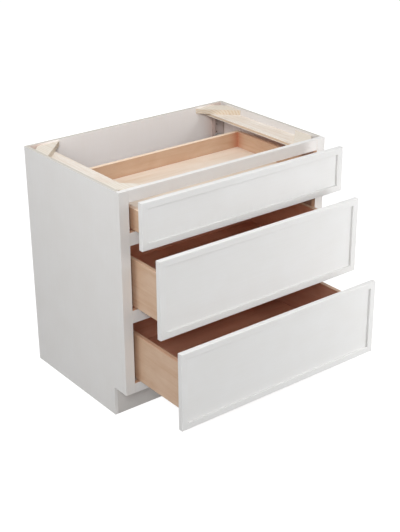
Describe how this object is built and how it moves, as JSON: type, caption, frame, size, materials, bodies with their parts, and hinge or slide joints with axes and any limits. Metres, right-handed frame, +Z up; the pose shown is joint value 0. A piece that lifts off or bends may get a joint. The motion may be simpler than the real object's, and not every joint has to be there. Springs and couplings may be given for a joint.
{
  "type": "base cabinet with drawers",
  "caption": "Painted face-frame kitchen base cabinet with full-overlay slim-framed drawer fronts, dovetailed maple boxes, concealed telescopic runners and a toe space.",
  "frame": {"origin": "on the floor at mid width, in the plane of the wall behind the back panel", "axes": "+Z up, +X to the right as seen from the front, +Y towards the wall; the drawers open towards -Y"},
  "size_m": [0.9144, 0.9189, 0.8763],
  "materials": {
    "carcass_paint": "satin off-white paint over hardwood frame and panels",
    "front_paint": "satin white paint, sprayed",
    "toe_paint": "satin off-white paint",
    "maple": "clear-lacquered maple",
    "plywood": "pale clear-coated plywood, plies showing on the edges",
    "pine": "planed pine",
    "zinc_steel": "bright zinc-plated sheet steel"
  },
  "bodies": {
    "carcass": {"left_side_panel": "carcass_paint", "right_side_panel": "carcass_paint", "back_panel": "carcass_paint", "cabinet_floor": "plywood", "toe_board": "toe_paint", "rear_base_rail": "plywood", "left_stile": "carcass_paint", "right_stile": "carcass_paint", "top_rail": "carcass_paint", "upper_middle_rail": "carcass_paint", "lower_middle_rail": "carcass_paint", "bottom_rail": "carcass_paint", "left_top_strip": "plywood", "right_top_strip": "plywood", "front_left_corner_brace": "pine", "front_right_corner_brace": "pine", "rear_left_corner_brace": "pine", "rear_right_corner_brace": "pine", "left_rear_batten": "carcass_paint", "right_rear_batten": "carcass_paint", "top_drawer_left_cabinet_runner": "zinc_steel", "top_drawer_right_cabinet_runner": "zinc_steel", "middle_drawer_left_cabinet_runner": "zinc_steel", "middle_drawer_right_cabinet_runner": "zinc_steel", "bottom_drawer_left_cabinet_runner": "zinc_steel", "bottom_drawer_right_cabinet_runner": "zinc_steel"},
    "top_drawer": {"top_drawer_front_frame": "front_paint", "top_drawer_front_panel": "front_paint", "top_drawer_left_side": "maple", "top_drawer_right_side": "maple", "top_drawer_box_front": "maple", "top_drawer_box_back": "maple", "top_drawer_box_bottom": "maple", "top_drawer_left_drawer_runner": "zinc_steel", "top_drawer_right_drawer_runner": "zinc_steel"},
    "top_drawer_middle_runners": {"top_drawer_left_middle_runner": "zinc_steel", "top_drawer_right_middle_runner": "zinc_steel"},
    "middle_drawer": {"middle_drawer_front_frame": "front_paint", "middle_drawer_front_panel": "front_paint", "middle_drawer_left_side": "maple", "middle_drawer_right_side": "maple", "middle_drawer_box_front": "maple", "middle_drawer_box_back": "maple", "middle_drawer_box_bottom": "maple", "middle_drawer_left_drawer_runner": "zinc_steel", "middle_drawer_right_drawer_runner": "zinc_steel"},
    "middle_drawer_middle_runners": {"middle_drawer_left_middle_runner": "zinc_steel", "middle_drawer_right_middle_runner": "zinc_steel"},
    "bottom_drawer": {"bottom_drawer_front_frame": "front_paint", "bottom_drawer_front_panel": "front_paint", "bottom_drawer_left_side": "maple", "bottom_drawer_right_side": "maple", "bottom_drawer_box_front": "maple", "bottom_drawer_box_back": "maple", "bottom_drawer_box_bottom": "maple", "bottom_drawer_left_drawer_runner": "zinc_steel", "bottom_drawer_right_drawer_runner": "zinc_steel"},
    "bottom_drawer_middle_runners": {"bottom_drawer_left_middle_runner": "zinc_steel", "bottom_drawer_right_middle_runner": "zinc_steel"}
  },
  "joints": [
    {"name": "top_drawer_slide", "type": "slide", "parent": "carcass", "child": "top_drawer", "axis": [0, -1, 0], "range_m": [-0.088, 0.392]},
    {"name": "top_drawer_runner_slide", "type": "slide", "parent": "carcass", "child": "top_drawer_middle_runners", "axis": [0, -1, 0], "range_m": [-0.044, 0.196]},
    {"name": "middle_drawer_slide", "type": "slide", "parent": "carcass", "child": "middle_drawer", "axis": [0, -1, 0], "range_m": [-0.178, 0.302]},
    {"name": "middle_drawer_runner_slide", "type": "slide", "parent": "carcass", "child": "middle_drawer_middle_runners", "axis": [0, -1, 0], "range_m": [-0.089, 0.151]},
    {"name": "bottom_drawer_slide", "type": "slide", "parent": "carcass", "child": "bottom_drawer", "axis": [0, -1, 0], "range_m": [-0.288, 0.192]},
    {"name": "bottom_drawer_runner_slide", "type": "slide", "parent": "carcass", "child": "bottom_drawer_middle_runners", "axis": [0, -1, 0], "range_m": [-0.144, 0.096]}
  ],
  "couplings": [
    {"joint": "top_drawer_runner_slide", "follows": "top_drawer_slide", "ratio": 0.5},
    {"joint": "middle_drawer_runner_slide", "follows": "middle_drawer_slide", "ratio": 0.5},
    {"joint": "bottom_drawer_runner_slide", "follows": "bottom_drawer_slide", "ratio": 0.5}
  ]
}
